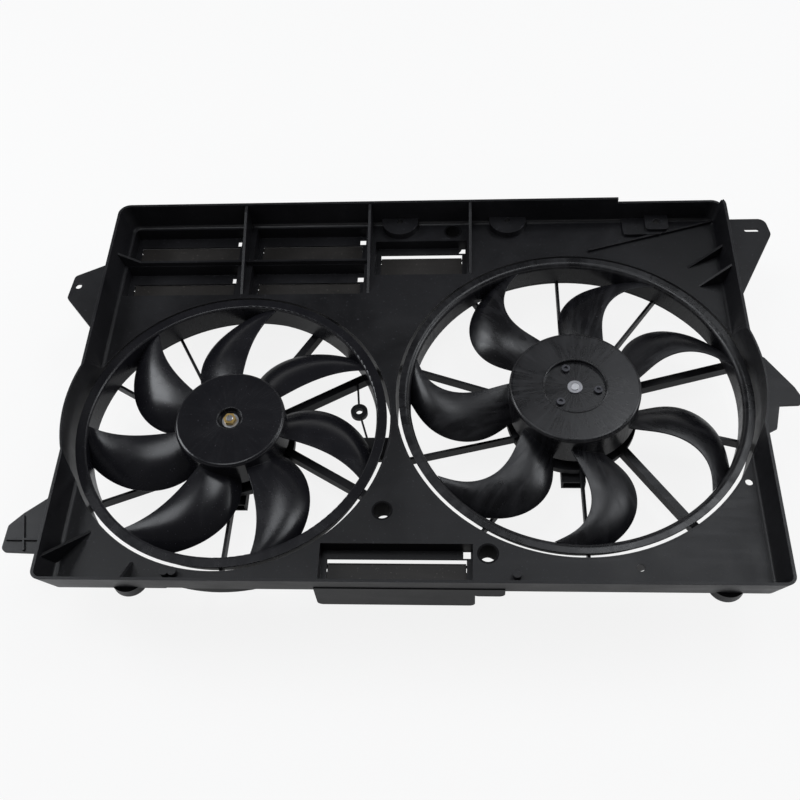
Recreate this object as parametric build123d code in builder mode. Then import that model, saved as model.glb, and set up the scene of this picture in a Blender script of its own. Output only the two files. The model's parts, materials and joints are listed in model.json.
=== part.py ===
"""Twin radiator cooling fan: a moulded shroud, two ring fans on their own motors and six ram-air doors.

The part lies on its two motor backs with the radiator side up. The origin is below the middle of the
shroud tray, at the height of the motor backs. X runs along the shroud, Y up its face, Z to the radiator.
The shroud moulding is divided into its plate, walls, gussets, barrels, motor supports, bolt tubes,
door pockets and ears, so that each division is a simple form of its own.
"""
from build123d import *
from math import cos, pi, radians, sin, sqrt, tan
import os

os.makedirs("parts", exist_ok=True)

# Fans
left_ring = 160.0             # outer radius of the left fan's ring
right_ring = 180.0
left_lip = 9.5                # how far the lip stands out from the ring
right_lip = 10.0
lip_gap = 3.5                 # air gap between a lip and its barrel
ring_wall = 2.0
left_ring_depth = 28.0
right_ring_depth = 26.0
left_bell = 2.5               # rounding of the rings' mouths
right_bell = 6.0
left_hub = 60.0               # outer radius of the left hub
right_hub = 70.5
left_hub_height = 10.0        # hub face above the plate front
right_hub_height = 14.0
hub_wall = 3.0
hub_edge = 4.0                # rounding of the hub's rim
left_dimple = 13.0            # recess round the left fan's nut
left_dimple_depth = 6.0
left_boss = 17.0
left_boss_length = 12.0       # from the hub face down to the shaft's shoulder
nut_width = 12.0              # across flats
nut_height = 5.0
washer_radius = 9.0
washer_thickness = 1.0
right_recess = 33.0
right_recess_depth = 4.0
drive_plate_radius = 31.0
drive_plate_thickness = 4.0
spigot_radius = 8.0
spigot_length = 4.5
fan_screw_circle = 25.0
fan_screw_radius = 2.5
fan_screw_head = 4.5
fan_screw_head_height = 3.0
fan_screw_socket = 2.5        # six-sided recess in the heads
fan_screw_angles = [110, 230, 350]
blade_count = 7
blade_nose = 2.5              # leading edge behind the plate front
blade_tail = 2.0              # trailing edge before the ring's rear edge
lip_rise = 1.0                # front of the lips above the plate front
blade_thickness = 2.4
blade_edge = 1.4
blade_camber = 0.09           # share of the chord
left_blade_start = 26.0       # direction of the first blade's leading tip, in degrees
left_lead_bow = 9.0           # degrees that its leading edge bows forward
left_blade_root = 51.0        # degrees that it spans at the hub
left_blade_taper = 38.0       # degrees that it narrows by to the tip
right_lead_bow = 15.0         # degrees that the crescent bows forward
right_lead_crest = 118.0      # radius where it stands furthest forward
right_lead_reach = 61.0       # radius from there to the tip
right_blade_root = 40.5       # degrees from the leading tip to the trailing edge at its crest
right_trail_bow = 25.0
right_trail_crest = 100.0
right_trail_reach = 78.0
right_blade_angles = [10.0, 55.0, 107.5, 164.0, 214.0, 260.0, 317.5]
thread_chamfer = 0.8

# Shroud tray, laid out round the two fan barrels
barrel_depth = 50.0           # from the front of the plate to the rear edge of the barrels
barrel_wall = 2.0
barrel_spacing = 0.7          # between the two barrels
barrel_bulge = 14.35          # how far each barrel stands out of its side wall
left_drop = 16.0              # foot of the bottom wall to the left barrel
bottom_margin = 33.4          # foot of the bottom wall to the right barrel
top_margin = 56.3             # right barrel to the foot of the top wall
motor_tail = 28.0             # barrels to the motor backs
rim_height = 36.0             # from the front of the plate to the sealing rim
side_lean = 6.0               # how far each wall spreads outwards from foot to rim
bottom_lean = 7.5
top_lean = 1.0
wall = 3.0                    # moulded wall
plate = 3.0                   # plate thickness
top_corner = 14.0
bottom_corner = 10.0
foot_fillet = 4.0             # rounding inside the tray where the walls meet the plate
step_height = 7.0             # the top wall is lower to the right
step_offset = 60.6            # from the right fan's axis to that step
band_depth = 1.2              # shallow gap at the foot of the bottom wall's outer face
band_width = 20.0
band_height = 4.0
band_offset = 32.0            # from the left fan's axis

# Motors
left_can = 50.0               # outer radius of the left motor's steel can
right_can = 59.0
can_wall = 2.0
can_edge = 5.0
left_can_gap = 6.0            # front end of the can behind the plate front
right_can_gap = 4.0
shaft_radius = 5.0
thread_radius = 4.0
press = 0.02                  # clearance that stands for a press fit
running = 0.05                # running clearance on a shaft or pin
loose = 0.2                   # clearance of pieces that only lie beside each other
bearing_radius = 13.0
bearing_length = 8.0
bearing_seat = 2.5            # wall round a bearing
end_cap = 3.0
magnet_thickness = 6.5
magnet_gap = 8.0              # between neighbouring magnets
magnet_count = 4
magnet_overhang = 3.0         # magnets beyond each end of the core
air_gap = 0.8
slot_count = 12
slot_floor = 19.0             # radius of the bottoms of the core's slots
slot_width_inside = 6.0
slot_opening = 2.0
tooth_tip = 2.0
core_rear = 17.0
core_to_front = 32.0          # front of the armature core behind the front of the can
winding_height = 5.0
commutator_radius = 15.0
commutator_gap = 2.0
brush_card = 3.0
card_gap = 1.0                # card to the end plate's bearing seat
brush_length = 13.0
brush_width = 8.0
brush_height = 6.0
brush_gap = 0.3
spring_thickness = 1.0
spring_overhang = 2.0
mount_ring_gap = 1.5          # motor can to the shroud's mounting ring
mount_ring_width = 12.0
mount_ring_depth = 8.0
motor_screw_radius = 2.5
motor_screw_head = 5.0
motor_screw_head_height = 4.0
motor_screw_end = 2.0         # screw beyond the mounting ring
mount_ear = 2.0               # thickness of the motor's mounting ears
mount_ear_radius = 8.0
socket_length = 20.0
socket_width = 26.0
socket_height = 14.0
socket_wall = 2.0
socket_floor = 4.0
socket_gap = 7.0              # socket behind the mounting ring
terminal_width = 6.3
terminal_thickness = 0.8
terminal_end = 4.0            # terminals behind the socket's mouth
strut_depth = 12.0
thin_strut = 3.0
wide_strut = 9.0

# Wire clip on the left motor support
clip_eye_radius = 9.5
clip_eye_hole = 4.0
clip_eye_x = 133.9            # from the left fan's axis
clip_eye_y = 39.1
clip_depth = 6.0
clip_rib = 2.0
clip_block_x = 138.9          # block on the barrel's inner wall, from the left fan's axis
clip_block_y = -9.9
clip_block_width = 28.0
clip_block_hole = 2.5

# Ram-air doors and their pockets
door_depth = 17.0             # plate front to the floor of a door pocket
centre_depth = 14.0
floor = 2.0
pocket_wall = 2.0
pocket_inset = 8.1            # top wall to the upper row of pockets
upper_height = 54.0
row_gap = 5.0
row_margin = 1.1              # lower row's walls to the left barrel
column_start = 6.5            # left wall to the first column
column_gap = 17.0
divider = 12.0                # second column to the centre pocket
centre_length = 110.0
centre_height = 52.0
centre_inset = 31.6
centre_margin = 10.4          # centre pocket's wall to the right barrel
bottom_inset = 5.1
bottom_height = 44.0
bottom_left_margin = 0.8      # bottom pocket's wall to the left barrel
bottom_right_margin = 27.0
skirt_depth = 32.0            # apron below the bottom pocket
skirt_thickness = 2.9
skirt_step_depth = 8.0
skirt_step_width = 31.0
skirt_lap = 8.0               # how far the apron reaches up the wall
skirt_corner = 6.0
frame_width = 6.0             # floor left round the window
door_gap = 0.3
door_thickness = 2.0
door_overlap = 3.0            # door beyond the window's edge
pin_radius = 1.5
hinge_radius = 3.0            # round bar along the door's upper edge
hinge_inset = 15.0            # hinge axis below the pocket's upper edge
hinge_clearance = 0.6
hinge_cover = 1.0             # window's upper edge above the hinge axis
light_gap = 2.6               # the same on the two centre doors, which show light above their bars
clip_width = 3.0              # plates that hold the door's pins
notch_width = 7.5             # open corner beside the hinge
notch_height = 8.0
notch_edge = 2.0

# Places of the bolt tubes, holes, bosses, feet and knobs
left_tube_inset = 6.2         # inside the left barrel's right-hand side
left_tube_rise = 86.0         # above the foot of the bottom wall
lower_tube_offset = 15.0      # beside the bottom pocket
lower_tube_rise = 39.0
upper_tube_inset = 17.0       # inside the centre pocket's right-hand edge
upper_tube_drop = 16.6        # below the foot of the top wall
side_hole_inset = 11.5        # inside the right wall
side_hole_drop = 109.0        # below the right fan's axis
lower_hole_offset = 52.6      # from the right fan's axis
lower_hole_rise = 25.1
clip_boss_offset = 110.6
clip_hole_edge = 1.6          # hole to the wall, besides its own width
left_boss_offset = 29.0       # from the centre pocket's edges
right_boss_offset = 49.0
boss_sink = 3.0               # middle of a half-round boss inside the wall
boss_hole_edge = 1.0
left_foot_offset = 82.2       # from the fans' axes
right_foot_offset = 133.6
left_knob_offset = 41.0
right_knob_offset = 67.4
knob_inset = 15.0

# Gussets and the long rib
gusset = 3.0
corner_gusset = 30.5          # foot of the corner gussets, from the foot of a side wall
corner_gusset_rise = 61.0     # above the foot of the bottom wall
corner_gusset_heel = 16.0
tall_gusset_height = 33.0
low_gusset = 41.5
low_gusset_height = 18.0
low_gusset_drop = 78.6        # below the foot of the top wall
low_gusset_heel = 54.6
right_gusset_drop = 105.6
right_gusset_heel = 98.0
row_gusset = 32.0
row_gusset_height = 26.0
bottom_gusset = 27.0
bottom_gusset_height = 30.0
bottom_gusset_offset = 81.0   # from the left fan's axis
row_rib_height = 6.0
long_rib_height = 3.5
long_rib_width = 2.5
long_rib_offset = 28.0        # from the right fan's axis
long_rib_drop = 51.6          # ends below the foot of the top wall
long_rib_end_drop = 7.0

# Mounting ears and holes
ear_length = 53.5             # furthest reach of the ears from the foot of a side wall
ear_plate = 3.0
ear_level = 12.0              # front of the ears, from the plate front
high_ear_level = 25.0
ear_corner = 6.0
high_ear_corner = 10.0
ear_rib = 2.0
ear_rib_rise = 45.0           # above the foot of the bottom wall
ear_hole_inset = 10.0
ear_hole_drop = 105.6         # below the foot of the top wall
slot_inset = 21.0
slot_drop = 43.6
hole_radius = 4.0
slot_length = 17.0
slot_width = 5.0
tube_radius = 9.0             # bolt tubes behind the plate
tube_length = 30.0
boss_radius = 22.0            # half-round bosses against the top wall
boss_height = 9.0
boss_hole_radius = 3.5
foot_radius = 18.0            # half-round feet on the bottom wall
foot_height = 12.0
foot_inset = 13.0
knob_radius = 4.5
knob_height = 7.0
knob_pitch = 8.0
pad_height = 4.0              # raised pad beside the clip boss, top right
pad_width = 46.0
pad_length = 29.0
pad_shift = 17.0              # middle of the pad beside the middle of the clip boss
clip_boss_height = 8.0
clip_boss_width = 27.0
clip_boss_length = 24.6
clip_boss_corner = 5.0

front = motor_tail + barrel_depth           # front face of the plate, above the motor backs
rim = front + rim_height
plate_rear = front - plate
barrel_rear = motor_tail
left_opening = left_ring + left_lip + lip_gap
right_opening = right_ring + right_lip + lip_gap
left_barrel = left_opening + barrel_wall
right_barrel = right_opening + barrel_wall
side = left_barrel + right_barrel + barrel_spacing / 2 - barrel_bulge    # foot of the side walls
ear_reach = side + ear_length
foot_width = 2 * right_barrel + top_margin + bottom_margin               # between the other two feet
top = (foot_width + bottom_lean - top_lean) / 2
bottom = top - foot_width
left_x = left_barrel - side - barrel_bulge
left_y = bottom + left_drop + left_barrel
right_x = side + barrel_bulge - right_barrel
right_y = bottom + bottom_margin + right_barrel
left_mount = left_can + mount_ring_gap
right_mount = right_can + mount_ring_gap
left_screw_circle = left_mount + mount_ring_width / 2
right_screw_circle = right_mount + mount_ring_width / 2
left_screw_angles = [90, 210, 330]
right_screw_angles = [60, 180, 300]
hinge_drop = hinge_radius + door_gap        # hinge axis behind the floor's rear face
left_centre = Vector(left_x, left_y)
right_centre = Vector(right_x, right_y)


def chord(radius, rise):
    """Half the width of a circle at a height above its centre."""
    return sqrt(max(radius**2 - rise**2, 0))


def beside_left(y):
    """X of the left barrel's right-hand side at this Y."""
    return left_x + chord(left_barrel, y - left_y)


def beside_right(y):
    """X of the right barrel's left-hand side at this Y."""
    return right_x - chord(right_barrel, y - right_y)


# Door pockets: low x, high x, low y, high y, depth of the floor
upper_high = top - pocket_inset
upper_low = upper_high - upper_height
lower_high = upper_low - row_gap
lower_low = left_y + left_barrel + pocket_wall + row_margin
centre_high_y = top - centre_inset
centre_low_y = centre_high_y - centre_height
centre_high_x = beside_right(centre_low_y - pocket_wall) - pocket_wall - centre_margin
centre_low_x = centre_high_x - centre_length
first_low = column_start - side
column_length = (centre_low_x - divider - first_low - column_gap) / 2
first_high = first_low + column_length
second_low = first_high + column_gap
second_high = second_low + column_length
bottom_low_y = bottom + bottom_inset
bottom_high_y = bottom_low_y + bottom_height
bottom_low_x = beside_left(bottom_high_y + pocket_wall) + pocket_wall + bottom_left_margin
bottom_high_x = beside_right(bottom_high_y + pocket_wall) - pocket_wall - bottom_right_margin
pockets = {
    "upper_left": (first_low, first_high, upper_low, upper_high, door_depth),
    "upper_right": (second_low, second_high, upper_low, upper_high, door_depth),
    "lower_left": (first_low, first_high, lower_low, lower_high, door_depth),
    "lower_right": (second_low, second_high, lower_low, lower_high, door_depth),
    "top_centre": (centre_low_x, centre_high_x, centre_low_y, centre_high_y, centre_depth),
    "bottom_centre": (bottom_low_x, bottom_high_x, bottom_low_y, bottom_high_y, door_depth),
}
tubes = [
    (left_x + left_barrel - left_tube_inset, bottom + left_tube_rise),
    (bottom_high_x + lower_tube_offset, bottom + lower_tube_rise),
    (centre_high_x - upper_tube_inset, top - upper_tube_drop),
]
clip_holes = [
    (side - side_hole_inset, right_y - side_hole_drop),
    (right_x + lower_hole_offset, bottom + lower_hole_rise),
]
clip_boss_x = right_x + clip_boss_offset
boss_places = [centre_low_x + left_boss_offset, centre_high_x + right_boss_offset]
boss_holes = [(x, top - wall - boss_hole_radius - boss_hole_edge) for x in boss_places]
feet = [left_x - left_foot_offset, right_x + right_foot_offset]
knobs = [
    left_x - left_knob_offset - knob_pitch / 2,
    left_x - left_knob_offset + knob_pitch / 2,
    right_x - right_knob_offset,
]

# Struts: direction at the mounting ring, direction at the barrel, width
left_struts = [
    (221, 208, thin_strut),
    (273, 270, thin_strut),
    (348, 335, wide_strut),
    (36, 31.5, wide_strut),
    (68, 62, wide_strut),
    (124, 121, thin_strut),
    (160, 153, thin_strut),
]
right_struts = [
    (163, 161.5, thin_strut),
    (208, 198.5, thin_strut),
    (240, 235.5, thin_strut),
    (276, 272.5, thin_strut),
    (319, 310, wide_strut),
    (352, 347.5, thin_strut),
    (26, 19, wide_strut),
    (60, 56, thin_strut),
    (95, 92, thin_strut),
    (129, 124, thin_strut),
]


def polar(radius, angle):
    """Point at a radius and a direction in degrees."""
    return Vector(radius * cos(radians(angle)), radius * sin(radians(angle)))


def middle(pocket):
    """Middle of a door pocket."""
    return ((pocket[0] + pocket[1]) / 2, (pocket[2] + pocket[3]) / 2)


def hinge(pocket):
    """Y and Z of a door's hinge axis."""
    return (pocket[3] - hinge_inset, front - pocket[4] - floor - hinge_drop)


def window(name):
    """Low x, high x, low y, high y of the opening in a pocket's floor."""
    pocket = pockets[name]
    cover = light_gap + hinge_radius if "centre" in name else hinge_cover
    return (
        pocket[0] + frame_width,
        pocket[1] - frame_width,
        pocket[2] + frame_width / 2,
        pocket[3] - hinge_inset + cover,
    )


def tray_outline(level, inset):
    """Rounded outline of the leaning walls at a level, moved inwards by an inset."""
    rise = (level - front) / rim_height
    half = side + side_lean * rise - inset
    low = bottom - bottom_lean * rise + inset
    high = top + top_lean * rise - inset
    with BuildSketch(Plane.XY.offset(level)) as outline:
        with Locations((0, (low + high) / 2)):
            Rectangle(2 * half, high - low)
        fillet(outline.vertices().group_by(Axis.Y)[-1], top_corner - inset)
        fillet(outline.vertices().group_by(Axis.Y)[0], bottom_corner - inset)
    return outline.sketch


with BuildPart() as cavity:
    loft([tray_outline(front, wall), tray_outline(rim, wall)], ruled=True)
    fillet(cavity.faces().sort_by(Axis.Z)[0].edges(), foot_fillet)

with BuildPart() as tray_block:
    loft([tray_outline(plate_rear, 0), tray_outline(rim, 0)], ruled=True)

# Gussets inside the walls: three tall ones between the pockets, and five slanting ones given by
# foot on the plate, heel at the wall, and height at the wall
with BuildPart() as wall_gussets:
    for middle_x, gusset_low in (
        (first_high + column_gap / 2, lower_low),
        (second_high + divider / 2, lower_low),
        (centre_high_x + divider / 3, centre_low_y),
    ):
        with BuildSketch(Plane.YZ.offset(middle_x - gusset / 2)):
            Polygon(
                (gusset_low, front),
                (top, front),
                (top, rim - 1),
                (top - wall - pocket_inset, rim - 3),
                align=None,
            )
        extrude(amount=gusset)
    for foot, heel, height in (
        (
            (corner_gusset - side, bottom + corner_gusset_rise),
            (-side - side_lean, bottom + corner_gusset_heel),
            tall_gusset_height,
        ),
        (
            (side - low_gusset, top - low_gusset_drop),
            (side + side_lean, top - low_gusset_heel),
            low_gusset_height,
        ),
        (
            (side - corner_gusset, top - right_gusset_drop),
            (side + side_lean, top - right_gusset_heel),
            tall_gusset_height,
        ),
        (
            (row_gusset - side, upper_low - row_gap / 2),
            (-side - side_lean, upper_low - row_gap / 2),
            row_gusset_height,
        ),
        (
            (left_x - bottom_gusset_offset, bottom + bottom_gusset),
            (left_x - bottom_gusset_offset, bottom - bottom_lean),
            bottom_gusset_height,
        ),
    ):
        run = Vector(*heel) - Vector(*foot)
        across = Plane(
            origin=(foot[0], foot[1], front), x_dir=(run.X, run.Y, 0), z_dir=(run.Y, -run.X, 0)
        )
        with BuildSketch(across):
            Polygon((0, 0), (run.length, height), (run.length, 0), align=None)
        extrude(amount=gusset / 2, both=True)
    add(cavity.part, mode=Mode.INTERSECT)
wall_gussets.part.label = "wall_gussets"
export_step(wall_gussets.part, "parts/wall_gussets.step")

# Leaning walls round the tray, open where the barrels bulge through them
with BuildPart() as tray_walls:
    loft([tray_outline(front, 0), tray_outline(rim, 0)], ruled=True)
    # apron under the bottom wall
    with BuildSketch(Plane.XZ.offset(-bottom)):
        for low_x, high_x, depth in (
            (bottom_low_x - pocket_wall, bottom_high_x + pocket_wall, skirt_depth),
            (bottom_high_x, bottom_high_x + skirt_step_width, skirt_step_depth),
        ):
            with Locations(((low_x + high_x) / 2, front + (skirt_lap - depth) / 2)):
                RectangleRounded(high_x - low_x, depth + skirt_lap, skirt_corner)
            with Locations(((low_x + high_x) / 2, front + skirt_lap / 2)):
                Rectangle(high_x - low_x, skirt_lap)
    extrude(amount=skirt_thickness)
    add(cavity.part, mode=Mode.SUBTRACT)
    # lower stretch of the top wall
    with BuildSketch(Plane.XY.offset(rim - step_height)):
        with Locations(((right_x + step_offset + side) / 2 + wall, top)):
            Rectangle(side - right_x - step_offset, 4 * wall)
    extrude(amount=step_height, mode=Mode.SUBTRACT)
    # shallow gap at the foot of the bottom wall, the barrels, and the boss holes beside the top wall
    with BuildSketch(Plane.XY.offset(front)):
        with Locations((left_x - band_offset, bottom + (band_depth - bottom_lean) / 2)):
            Rectangle(band_width, bottom_lean + band_depth)
    extrude(amount=band_height, mode=Mode.SUBTRACT)
    with BuildSketch(Plane.XY.offset(front)):
        with Locations(left_centre):
            Circle(left_barrel)
        with Locations(right_centre):
            Circle(right_barrel)
        with Locations(*boss_holes):
            Circle(boss_hole_radius)
    extrude(amount=rim_height, mode=Mode.SUBTRACT)
tray_walls.part.label = "tray_walls"
export_step(tray_walls.part, "parts/tray_walls.step")

# Low ribs, bosses and knobs that stand on the plate
with BuildPart() as raised:
    with BuildSketch(Plane.XY.offset(front)):
        row_y = upper_low - row_gap / 2
        trace(Line((-side, row_y), (second_high + divider / 2, row_y), mode=Mode.PRIVATE), line_width=gusset)
    extrude(amount=row_rib_height)
    with BuildSketch(Plane.XY.offset(front)):
        rib_start = Vector(right_x + long_rib_offset, top - long_rib_drop)
        rib_end = Vector(side, top - long_rib_end_drop)
        trace(Line(rib_start, rib_end, mode=Mode.PRIVATE), line_width=long_rib_width)
    extrude(amount=long_rib_height)
    with BuildSketch(Plane.XY.offset(front)):
        with Locations(*[(x, top - wall - boss_sink) for x in boss_places]):
            Circle(boss_radius)
    extrude(amount=boss_height)
    for width, length, shift, height in (
        (clip_boss_width, clip_boss_length, 0, clip_boss_height),
        (pad_width, pad_length, pad_shift, pad_height),
    ):
        with BuildSketch(Plane.XY.offset(front)):
            with Locations((clip_boss_x - shift, top)):
                RectangleRounded(width, 2 * length, clip_boss_corner)
        extrude(amount=height)
    with BuildSketch(Plane.XY.offset(front)):
        with Locations(*[(x, bottom + knob_inset) for x in knobs]):
            Circle(knob_radius)
    extrude(amount=knob_height)
    add(cavity.part, mode=Mode.INTERSECT)
    add(wall_gussets.part, mode=Mode.SUBTRACT)

# The whole plate with its feet and holes, before the door pockets' cells are taken out of it
with BuildPart() as whole_plate:
    loft([tray_outline(plate_rear, 0), tray_outline(front, 0)], ruled=True)
    with BuildSketch(Plane.XY.offset(front - foot_height)):
        with Locations(*[(x, bottom + foot_inset) for x in feet]):
            Circle(foot_radius)
    extrude(amount=foot_height)
    add(raised.part)
    with BuildSketch(Plane.XY.offset(plate_rear)):
        with Locations(left_centre):
            Circle(left_barrel)
        with Locations(right_centre):
            Circle(right_barrel)
        with Locations(*tubes):
            Circle(tube_radius + pocket_wall)
        with Locations(*clip_holes, (clip_boss_x, top - wall - 2 * hole_radius - clip_hole_edge)):
            Circle(hole_radius)
        with Locations(*boss_holes):
            Circle(boss_hole_radius)
        with Locations((left_x - band_offset, bottom + (band_depth - bottom_lean) / 2)):
            Rectangle(band_width, bottom_lean + band_depth)
    extrude(amount=plate + boss_height, mode=Mode.SUBTRACT)

# Door pockets: open boxes with a window and pin plates, each with its cell of the plate round its mouth
row_break = upper_low - (row_gap + gusset) / 2
column_break = first_high + column_gap / 2
centre_break = second_high + divider / 2
cells = {
    "upper_left": (-side - 1, column_break, row_break, top + 1),
    "upper_right": (column_break, centre_break, row_break, top + 1),
    "lower_left": (-side - 1, column_break, lower_low - pocket_wall, row_break),
    "lower_right": (column_break, centre_break, lower_low - pocket_wall, row_break),
    "top_centre": (
        centre_break, centre_high_x + divider / 3, centre_low_y - pocket_wall, centre_high_y + pocket_wall,
    ),
    "bottom_centre": (
        bottom_low_x - pocket_wall, bottom_high_x + pocket_wall, bottom - 1, bottom_high_y + pocket_wall,
    ),
}
for name, pocket in pockets.items():
    length, height, depth = pocket[1] - pocket[0], pocket[3] - pocket[2], pocket[4]
    hinge_y, hinge_z = hinge(pocket)
    low_x, high_x, low_y, high_y = window(name)
    cell = cells[name]
    with BuildPart() as box:
        with BuildSketch(Plane.XY.offset(plate_rear)):
            with Locations(middle(cell)):
                Rectangle(cell[1] - cell[0], cell[3] - cell[2])
        extrude(amount=plate + boss_height)
        add(whole_plate.part, mode=Mode.INTERSECT)
        with BuildSketch(Plane.XY.offset(front - depth - floor)):
            with Locations(middle(pocket)):
                Rectangle(length + 2 * pocket_wall, height + 2 * pocket_wall)
        extrude(amount=depth + floor - plate)
        with BuildSketch(Plane.XY.offset(front - depth)):
            with Locations(middle(pocket)):
                Rectangle(length, height)
        extrude(amount=depth, mode=Mode.SUBTRACT)
        with BuildSketch(Plane.XY.offset(front - depth - floor)):
            with Locations(((low_x + high_x) / 2, (low_y + high_y) / 2)):
                Rectangle(high_x - low_x, high_y - low_y)
            with Locations((pocket[1] - notch_width / 2 - notch_edge, high_y + notch_height / 2 + 1)):
                Rectangle(notch_width, notch_height)
        extrude(amount=floor, mode=Mode.SUBTRACT)
        for clip_x in (low_x - clip_width, high_x):
            with BuildSketch(Plane.YZ.offset(clip_x)):
                with Locations((hinge_y, hinge_z)):
                    Circle(hinge_radius)
                with Locations((hinge_y, hinge_z + hinge_drop / 2)):
                    Rectangle(2 * hinge_radius, hinge_drop)
                with Locations((hinge_y, hinge_z)):
                    Circle(pin_radius + running, mode=Mode.SUBTRACT)
            extrude(amount=clip_width)
    box.part.label = f"{name}_pocket"
    export_step(box.part, f"parts/{name}_pocket.step")

# Shroud: the plate round the fans, with its feet, bosses and the long rib, divided beside and between them
waist = (left_y + right_y) / 2
with BuildPart() as shroud:
    add(whole_plate.part)
    with BuildSketch(Plane.XY.offset(plate_rear)):
        for cell in cells.values():
            with Locations(middle(cell)):
                Rectangle(cell[1] - cell[0], cell[3] - cell[2])
    extrude(amount=plate + boss_height, mode=Mode.SUBTRACT)
    for cut_x in (left_x, cells["bottom_centre"][0], cells["top_centre"][1], right_x):
        split(bisect_by=Plane.YZ.offset(cut_x), keep=Keep.BOTH)
    split(bisect_by=Plane.XZ.offset(-waist), keep=Keep.BOTH)
shroud.part.label = "shroud"
export_step(shroud.part, "parts/shroud.step")

# Bolt tubes through the plate
with BuildPart() as bolt_tubes:
    with BuildSketch(Plane.XY.offset(front - tube_length)):
        with Locations(*tubes):
            Circle(tube_radius + pocket_wall)
            Circle(tube_radius, mode=Mode.SUBTRACT)
    extrude(amount=tube_length)
bolt_tubes.part.label = "bolt_tubes"
export_step(bolt_tubes.part, "parts/bolt_tubes.step")

# Barrels, one round each fan: behind the plate a whole ring, in front of it the bulge in the side wall
for name, centre, opening, barrel in (
    ("left_barrel", left_centre, left_opening, left_barrel),
    ("right_barrel", right_centre, right_opening, right_barrel),
):
    with BuildPart() as ring:
        with BuildSketch(Plane.XY.offset(barrel_rear)):
            with Locations(centre):
                Circle(barrel)
                Circle(opening, mode=Mode.SUBTRACT)
        extrude(amount=rim - barrel_rear)
        add(cavity.part, mode=Mode.SUBTRACT)
    ring.part.label = name
    export_step(ring.part, f"parts/{name}.step")

# Motor supports: a ring for the motor's screws on struts that reach the barrel
for name, centre, opening, mount, struts, circle, angles in (
    ("left_motor_support", left_centre, left_opening, left_mount, left_struts,
     left_screw_circle, left_screw_angles),
    ("right_motor_support", right_centre, right_opening, right_mount, right_struts,
     right_screw_circle, right_screw_angles),
):
    with BuildPart() as support:
        with BuildSketch(Plane.XY.offset(barrel_rear)):
            with Locations(centre):
                Circle(mount + mount_ring_width)
        extrude(amount=mount_ring_depth)
        with BuildSketch(Plane.XY.offset(barrel_rear)):
            for start, end, width in struts:
                root = centre + polar(mount + mount_ring_width / 2, start)
                tip = centre + polar(opening + barrel_wall, end)
                trace(Line(root, tip, mode=Mode.PRIVATE), line_width=width)
        extrude(amount=strut_depth)
        if name == "left_motor_support":
            # eye and bracket that hold the wires
            eye = centre + Vector(clip_eye_x, clip_eye_y)
            block = centre + Vector(clip_block_x, clip_block_y)
            with BuildSketch(Plane.XY.offset(barrel_rear + strut_depth - clip_depth)):
                with Locations(eye):
                    Circle(clip_eye_radius)
                trace(Line(eye, eye + Vector(-4, 40), mode=Mode.PRIVATE), line_width=clip_rib)
                trace(Line(eye, block + Vector(10, 0), mode=Mode.PRIVATE), line_width=clip_rib)
                with Locations(block):
                    Rectangle(opening, clip_block_width, align=(Align.MIN, Align.CENTER))
                with Locations(eye):
                    Circle(clip_eye_hole, mode=Mode.SUBTRACT)
                with Locations(block + Vector(14, 0)):
                    Circle(clip_block_hole, mode=Mode.SUBTRACT)
            extrude(amount=clip_depth)
        with BuildSketch(Plane.XY.offset(barrel_rear)):
            with Locations(centre):
                Circle(opening)
                Circle(mount, mode=Mode.SUBTRACT)
            with Locations(*[centre + polar(circle, angle) for angle in angles]):
                Circle(motor_screw_radius + press, mode=Mode.SUBTRACT)
        extrude(amount=strut_depth, mode=Mode.INTERSECT)
    support.part.label = name
    export_step(support.part, f"parts/{name}.step")

# Mounting ears on the sides of the tray: reach beyond the wall's foot and Y of each corner
ears = (
    (-1, ear_level, ear_corner, [
        (-5, top - 59.6), (16.5, top - 73.6), (ear_length - 3, top - 90.6), (ear_length, top - 123.6),
        (16.5, top - 167.6), (-5, top - 183.6)]),
    (-1, ear_level, ear_corner, [
        (-5, bottom + 107.1), (17.5, bottom + 92.1), (ear_length - 15, bottom + 75.1),
        (ear_length - 2, bottom + 61.1), (ear_length - 1, bottom + 32.1), (-5, bottom + 30.1)]),
    (1, ear_level, ear_corner / 2, [
        (-5, right_y + 58.2), (23.5, right_y + 36.2), (ear_length - 5, right_y - 1.8),
        (ear_length, right_y - 13.8), (ear_length - 2, right_y - 23.8), (29.5, right_y - 24.8),
        (22.5, right_y - 52.8), (-5, right_y - 67.8)]),
    (1, high_ear_level, high_ear_corner, [
        (-5, top - 26.6), (ear_length - 4, top - 26.6), (ear_length, top - 50.6), (7.5, top - 141.6),
        (-5, top - 143.6)]),
)
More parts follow.
